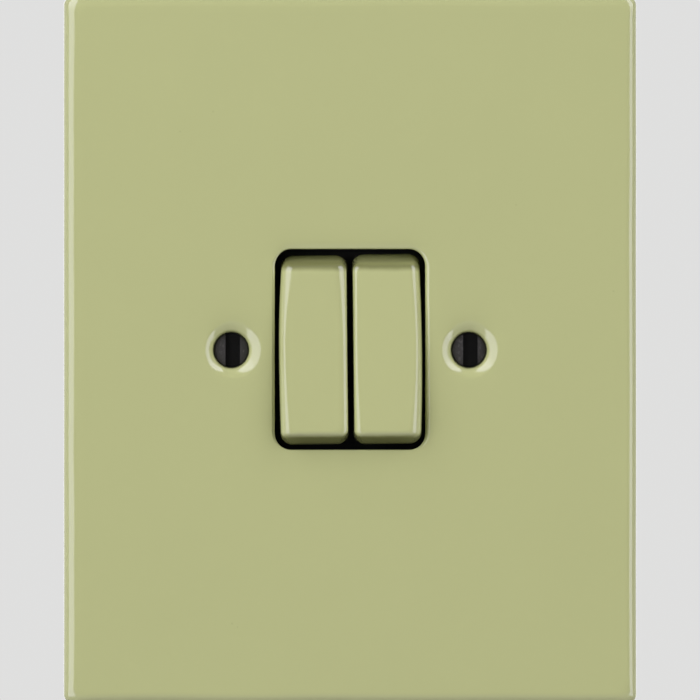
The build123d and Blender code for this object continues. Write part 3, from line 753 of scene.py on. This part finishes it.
class SWITCH_OT_rockers(bpy.types.Operator):
    """Make the two glazed rocker caps"""

    bl_idname = "light_switch.rockers"
    bl_label = "Rockers"

    def execute(self, context):
        sizes = context.scene.switch_rockers
        # Heights along the caps past which the glaze gets painted shade on its end faces
        cap_shade_heights = (-0.0116, 0.0112)
        glaze = glazed_porcelain(context.scene.switch_plate, "glazed_porcelain_caps", cap_shade_heights)
        clay = bpy.data.materials["bare_bisque"]
        steps = (48, 16, 9)
        half_u = sizes.width / 2
        outer, inner = sizes.outer_draft, sizes.inner_draft
        # Each side: half width, bow, draft, then reach and fall of its shoulder, from bottom to top
        sides = {
            "left": (
                Shoulder(
                    half_u - 0.00005, (0.0002, 0.0006), outer, (0.00164, 0.001, 0.0027), (0.0017, 0.002, 0.0017)
                ),
                Shoulder(half_u + 0.00014, (0.0, 0.0), inner, (0.0013, 0.0013, 0.0032), (0.0006, 0.0006, 0.00147)),
            ),
            "right": (
                Shoulder(half_u + 0.00006, (0.0, 0.0), inner, (0.0013, 0.0007, 0.0009), (0.0013, 0.0007, 0.0009)),
                Shoulder(
                    half_u + 0.0001, (0.00035, 0.00028), outer, (0.002, 0.001, 0.002), (0.0017, 0.0016, 0.0016)
                ),
            ),
        }
        # How each bonded cap has settled: slack in degrees, spare length at each end, shift along its length
        settled = {"left": (-1.5, 0.0001, -0.00034), "right": (0.4, 0.0002, -0.00016)}
        for hand in hands:
            hinge = joints[f"{hand}_rocker_tilt"]
            pivot = Vector(hinge["pos_m"])
            slack, spare, shift_v = settled[hand]
            half_v = sizes.length / 2 + spare
            tilt = radians(sum(hinge["range_deg"]) / 2)
            left_side, right_side = sides[hand]

            def in_place(u, v, h):
                """A spot on the cap, across, along and out from its back, where it rests in the window."""
                turned_u = u * cos(sizes.lean) - v * sin(sizes.lean)
                turned_v = u * sin(sizes.lean) + v * cos(sizes.lean) + shift_v
                out = sizes.pivot_depth + h - (turned_v + half_v) * sin(radians(slack))
                return (
                    pivot.x + turned_u,
                    pivot.y + turned_v * sin(tilt) - out * cos(tilt),
                    pivot.z + turned_v * cos(tilt) + out * sin(tilt),
                )

            def outline(height):
                """Points round the cap at this height, up its right side first."""
                top = half_v - drafted_inset(height, sizes.top_draft, sizes.top_radius, sizes.height)
                low = half_v - drafted_inset(height, sizes.bottom_draft, sizes.bottom_radius, sizes.height)
                corner = sizes.corner_radius * (1 - 0.5 * height / sizes.height)
                run = top + low - 2 * corner

                def side(v, shoulder):
                    return shoulder.out(v / half_v, height, sizes.height)

                def across(start, end):
                    return [start + (end - start) * k / along_u for k in range(along_u)]

                right_top, right_low = side(top - corner, right_side), side(corner - low, right_side)
                left_top, left_low = side(top - corner, left_side), side(corner - low, left_side)
                along_v, along_u, in_corner = steps
                climb = [run * k / along_v for k in range(along_v)]
                turns = [k / in_corner * pi / 2 for k in range(in_corner)]
                bend = [(corner * (1 - cos(angle)), corner * (1 - sin(angle))) for angle in turns]
                points = [(side(corner - low + rise, right_side), corner - low + rise) for rise in climb]
                points += [(right_top - near, top - far) for near, far in bend]
                points += [(u, top) for u in across(right_top - corner, corner - left_top)]
                points += [(far - left_top, top - near) for near, far in bend]
                points += [(-side(top - corner - fall, left_side), top - corner - fall) for fall in climb]
                points += [(near - left_low, far - low) for near, far in bend]
                points += [(u, -low) for u in across(corner - left_low, right_low - corner)]
                points += [(right_low - far, near - low) for near, far in bend]
                return points

            mesh = bmesh.new()

            def ring(points, height):
                return add_ring(mesh, [in_place(u, v, height) for u, v in points])

            shoulder_height, shoulder_levels = 0.0022, 20
            levels = [0.00012, 0.0006, 0.0011]
            for k in range(shoulder_levels):
                left = 1 - k / (shoulder_levels - 1)
                levels.append(sizes.height - shoulder_height * left**2)
            rings = [ring(outline(level), level) for level in levels]
            face = outline(sizes.height)
            crown = 0.00002
            for keep in (0.985, 0.9, 0.7, 0.45, 0.2):
                rings.append(ring([(u * keep, v * keep) for u, v in face], sizes.height + crown * (1 - keep)))
            bands(mesh, rings)
            mesh.faces.new(rings[-1])
            foot = [(u * 0.985, v * 0.995) for u, v in outline(0.0)]
            socket_corner = 0.0004
            walls = rounded_rectangle(sizes.socket_width / 2, sizes.socket_length / 2, socket_corner, steps)
            socket = [(u, v) for u, v, _, _ in walls]
            back_rings = [rings[0], ring(foot, 0.0), ring(socket, 0.0), ring(socket, sizes.socket_depth)]
            bands(mesh, back_rings, 1)
            mesh.faces.new(back_rings[-1]).material_index = 1
            piece = made_piece(f"porcelain_rocker_{hand}", mesh, [glaze, clay], radians(50))
            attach(piece, f"{hand}_rocker")
            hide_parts(f"rocker_{hand}")
        return {"FINISHED"}


class SWITCH_OT_cover_screws(bpy.types.Operator):
    """Make the two black slotted screws"""

    bl_idname = "light_switch.cover_screws"
    bl_label = "Cover screws"

    def execute(self, context):
        sizes = context.scene.switch_screws
        top, tip = screws_low.y, screws_high.y
        seat = top + sizes.head_side + sizes.head_dome
        screw_x = screws_high.x - sizes.head_radius
        dome_radius = (sizes.head_radius**2 + sizes.head_dome**2) / (2 * sizes.head_dome)
        crease, arris, point = 0.00022, 0.0001, 0.0003
        dome_steps, crease_steps, around = 12, 5, 64
        profile = []
        for k in range(1, dome_steps + 1):
            radius = (sizes.head_radius - crease) * k / dome_steps
            profile.append((radius, top + dome_radius - sqrt(dome_radius**2 - radius**2)))
        rim_depth = profile[-1][1]
        for k in range(1, crease_steps + 1):
            angle = k / crease_steps * pi / 2
            reach = sizes.head_radius - crease * (1 - sin(angle))
            profile.append((reach, rim_depth + crease * (1 - cos(angle))))
        profile += [(sizes.head_radius, seat - arris), (sizes.head_radius - arris, seat)]
        thread_depth, neck, run_out = 0.00028, 0.0004, 0.0004
        root, pitch = sizes.shank_radius - thread_depth, sizes.thread_pitch
        profile.append((root, seat))
        for k in range(int((tip - seat - neck - run_out) / pitch)):
            start = seat + neck + k * pitch
            flanks = ((root, 0.0), (sizes.shank_radius, 0.42), (sizes.shank_radius, 0.55), (root, 0.97))
            profile += [(radius, start + pitch * part) for radius, part in flanks]
        profile += [(root, tip - point), (root - point, tip)]
        mesh = bmesh.new()
        for x in (-screw_x, screw_x):
            rings = [add_ring(mesh, circle(x, 0.0, radius, depth, around)) for radius, depth in profile]
            bands(mesh, rings)
            crown = mesh.verts.new((x, top, 0.0))
            for k in range(around):
                mesh.faces.new((crown, rings[0][k], rings[0][(k + 1) % around]))
            mesh.faces.new(rings[-1])
        piece = made_piece("black_cover_screws", mesh, [black_finish(sizes)])

        cutter, slot_run = bmesh.new(), 0.01
        for x in (-screw_x, screw_x):
            corners = bmesh.ops.create_cube(cutter, size=1.0)["verts"]
            bmesh.ops.scale(cutter, vec=(sizes.slot_width, 2 * sizes.slot_depth, slot_run), verts=corners)
            bmesh.ops.translate(cutter, vec=(x + sizes.slot_shift, top, 0.0), verts=corners)
        slots = made_piece("slot_cutter", cutter, [])
        cut = piece.modifiers.new("slots", "BOOLEAN")
        cut.operation, cut.solver, cut.object = "DIFFERENCE", "EXACT", slots
        shown = piece.evaluated_get(context.evaluated_depsgraph_get())
        slotted = bpy.data.meshes.new_from_object(shown)
        piece.modifiers.clear()
        piece.data = slotted
        slotted.name = "black_cover_screws"
        bpy.data.objects.remove(slots)
        worn = piece.modifiers.new("worn_edges", "BEVEL")
        worn.width, worn.segments = 0.00012, 2
        worn.limit_method, worn.angle_limit = "ANGLE", radians(40)
        slotted.shade_smooth()
        slotted.set_sharp_from_angle(angle=radians(35))
        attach(piece, "mechanism")
        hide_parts("cover_screws")
        return {"FINISHED"}


def dress(material, *names):
    """Gives a material to CAD nodes that keep their shape."""
    for name in names:
        node = frame["nodes"][name]
        if node.material_slots:
            for slot in node.material_slots:
                slot.material = material
        else:
            node.data.materials.append(material)


class SWITCH_OT_mouldings(bpy.types.Operator):
    """Finish the moulded frame, base, carriers and plungers"""

    bl_idname = "light_switch.mouldings"
    bl_label = "Mouldings"

    def execute(self, context):
        tints = context.scene.switch_fittings
        # Spread of the tint, gloss, size and depth of the grain
        black = moulded("black_moulding", tints.black_moulding, 0.2, 0.5, 0.0005, 0.00002, sheen=0.12)
        pale = moulded("pale_base_moulding", tints.base_moulding, 0.06, 0.42, 0.0007, 0.00003)
        nylon = moulded("natural_nylon", tints.nylon, 0.04, 0.3, 0.0009, 0.00001)
        dress(black, "mechanism_cover", "carrier_left", "carrier_right")
        dress(pale, "mechanism_base")
        dress(nylon, "plunger_left", "plunger_right")
        return {"FINISHED"}


class SWITCH_OT_metalwork(bpy.types.Operator):
    """Finish the strap, terminals, levers, contacts and small screws, and copy the springs onto the rockers"""

    bl_idname = "light_switch.metalwork"
    bl_label = "Metalwork"

    def execute(self, context):
        tints = context.scene.switch_fittings
        # Tarnish, gloss, stretch and depth of the working lines
        zinc = worked_metal("zinc_plate", tints.zinc, (0.52, 0.52, 0.47), 0.27, (0.1, 1.0, 1.0), 0.00001)
        brass = worked_metal("plain_brass", tints.brass, (0.50, 0.33, 0.14), 0.2, (1.0, 1.0, 0.12), 0.000008)
        silver = worked_metal(
            "contact_silver", tints.silver, (0.60, 0.56, 0.48), 0.16, (1.0, 1.0, 1.0), 0.000006
        )
        wire = worked_metal("spring_wire", tints.spring, (0.33, 0.31, 0.29), 0.22, (0.3, 1.0, 1.0), 0.000006)
        dress(zinc, "mounting_strap", "assembly_screws", "terminal_screws")
        dress(
            brass, "cover_bushes", "common_terminal", "switched_terminal_left", "switched_terminal_right",
            "contact_lever_left", "contact_lever_right",
        )
        dress(silver, "fixed_contacts", "moving_contact_left", "moving_contact_right")
        dress(wire, "pivot_pin")

        for hand in hands:
            data = frame["nodes"]["plunger_spring_" + hand].data.copy()
            coil = bpy.data.objects.new("snap_spring_" + hand, data)
            coil.data.materials.clear()
            coil.data.materials.append(wire)
            context.scene.collection.objects.link(coil)
            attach(coil, hand + "_rocker")
            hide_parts("plunger_spring_" + hand)
            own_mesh(coil)
        return {"FINISHED"}


def softbox(name, start, end, reach, low, high, brightness):
    """A tall lamp that spans these angles off the face's axis, at this distance."""
    middle, half = (start + end) / 2, (end - start) / 2
    near = reach * cos(half)
    lamp = bpy.data.lights.new(name, "AREA")
    lamp.shape = "RECTANGLE"
    lamp.size = 2 * reach * abs(sin(half))
    lamp.size_y = high - low
    lamp.energy = brightness * pi * lamp.size * lamp.size_y
    holder = bpy.data.objects.new(name, lamp)
    holder.location = (near * sin(middle), -near * cos(middle), (low + high) / 2)
    holder.rotation_euler = Vector((-sin(middle), cos(middle), 0.0)).to_track_quat("-Z", "Y").to_euler()
    holder.visible_camera = False
    bpy.context.scene.collection.objects.link(holder)


class SWITCH_OT_stage(bpy.types.Operator):
    """Set the camera, the softboxes, the floor and the pale surroundings"""

    bl_idname = "light_switch.stage"
    bl_label = "Stage"

    def execute(self, context):
        scene = context.scene
        settings = scene.switch_stage
        scene.view_settings.view_transform = "Standard"

        lens = bpy.data.cameras.new("front_camera")
        lens.lens, lens.sensor_width = settings.lens, 36.0
        camera = bpy.data.objects.new("front_camera", lens)
        camera.location = (0.0, plate_low.y - settings.distance, 0.0)
        camera.rotation_euler = (pi / 2, 0.0, 0.0)
        scene.collection.objects.link(camera)
        scene.camera = camera

        ground = plate_low.z - settings.drop
        spans = {"left_softbox_": (radians(-29), radians(-77)), "right_softbox_": (radians(38), radians(74))}
        for part, low, high, share in (("low", -0.6, 0.4, 0.82), ("high", 0.4, 1.7, 1.12)):
            for name, (start, end) in spans.items():
                softbox(name + part, start, end, 1.0, low, high, settings.softbox * share)
        back_share = 0.19
        softbox("back_softbox", radians(145), radians(215), 1.2, -0.7, 1.0, settings.softbox * back_share)

        mesh = bmesh.new()
        rings = []
        for radius in (3.0, 0.6, 0.2):
            rings.append(add_ring(mesh, [(x, y, ground) for x, _, y in circle(0.0, 0.0, radius, 0.0)]))
        bands(mesh, rings)
        mesh.faces.new(rings[-1])
        material, nodes = finish("pale_floor", {"Specular IOR Level": 0.2})
        patches = nodes.cloud(size=0.3, detail=3.0)
        seen = nodes.looked_at()
        pale = nodes.blend(patches, shade(settings.floor, 0.985), shade(settings.floor, 1.01))
        nodes.feed(
            Base_Color=nodes.blend(seen, shade(settings.floor, 0.4), pale),
            Roughness=0.7 + nodes.cloud(size=0.02, detail=3.0) * 0.15,
        )
        backdrop_tint, glow_share = shade(settings.backdrop, 1.0), 0.88
        glow = nodes.node("ShaderNodeEmission", None, {"Color": backdrop_tint, "Strength": 1.0})
        lit = Wire(nodes, nodes.shader.outputs[0])
        mixed = nodes.node("ShaderNodeMixShader", None, {0: seen * glow_share, 1: lit, 2: glow})
        nodes.tree.links.new(mixed.socket, nodes.tree.nodes["Material Output"].inputs["Surface"])
        made_piece("floor", mesh, [material])

        world = bpy.data.worlds.new("pale_room")
        world.use_nodes = True
        scene.world = world
        nodes = Nodes(world.node_tree)
        towards = nodes.node("ShaderNodeTexCoord", output="Generated")
        behind = nodes.node("ShaderNodeSeparateXYZ", None, {0: towards}, "Y").step(-0.5, 0.3)
        camera_ray = nodes.node("ShaderNodeLightPath", output="Is Camera Ray")
        backdrop = nodes.blend(behind + camera_ray, shade(settings.backdrop, 0.2), backdrop_tint)
        white = (1.0, 1.0, 1.0, 1.0)
        dim = nodes.node("ShaderNodeBackground", None, {"Color": white, "Strength": settings.fill})
        pale = nodes.node("ShaderNodeBackground", None, {"Color": backdrop, "Strength": 1.0})
        mixed = nodes.node("ShaderNodeMixShader", None, {0: nodes.looked_at(), 1: dim, 2: pale})
        nodes.tree.links.new(mixed.socket, nodes.tree.nodes["World Output"].inputs["Surface"])
        return {"FINISHED"}


operators = (
    SWITCH_OT_cover_plate,
    SWITCH_OT_rockers,
    SWITCH_OT_cover_screws,
    SWITCH_OT_mouldings,
    SWITCH_OT_metalwork,
    SWITCH_OT_stage,
)

groups = {
    "switch_plate": PlateSizes,
    "switch_rockers": RockerSizes,
    "switch_screws": ScrewSizes,
    "switch_fittings": FittingColours,
    "switch_stage": StageSettings,
}


class SWITCH_PT_pieces(bpy.types.Panel):
    """Lists the pieces of the switch in the sidebar."""

    bl_idname = "SWITCH_PT_pieces"
    bl_label = "Light switch"
    bl_space_type = "VIEW_3D"
    bl_region_type = "UI"
    bl_category = "Light switch"

    def draw(self, context):
        for operator in operators:
            self.layout.operator(operator.bl_idname)


def register():
    for name, group in groups.items():
        bpy.utils.register_class(group)
        setattr(bpy.types.Scene, name, PointerProperty(type=group))
    for operator in operators:
        bpy.utils.register_class(operator)
    bpy.utils.register_class(SWITCH_PT_pieces)


def unregister():
    bpy.utils.unregister_class(SWITCH_PT_pieces)
    for operator in reversed(operators):
        bpy.utils.unregister_class(operator)
    for name, group in groups.items():
        delattr(bpy.types.Scene, name)
        bpy.utils.unregister_class(group)


def main():
    register()
    bpy.ops.light_switch.cover_plate()
    bpy.ops.light_switch.rockers()
    bpy.ops.light_switch.cover_screws()
    bpy.ops.light_switch.mouldings()
    bpy.ops.light_switch.metalwork()
    bpy.ops.light_switch.stage()


if __name__ == "__main__":
    main()
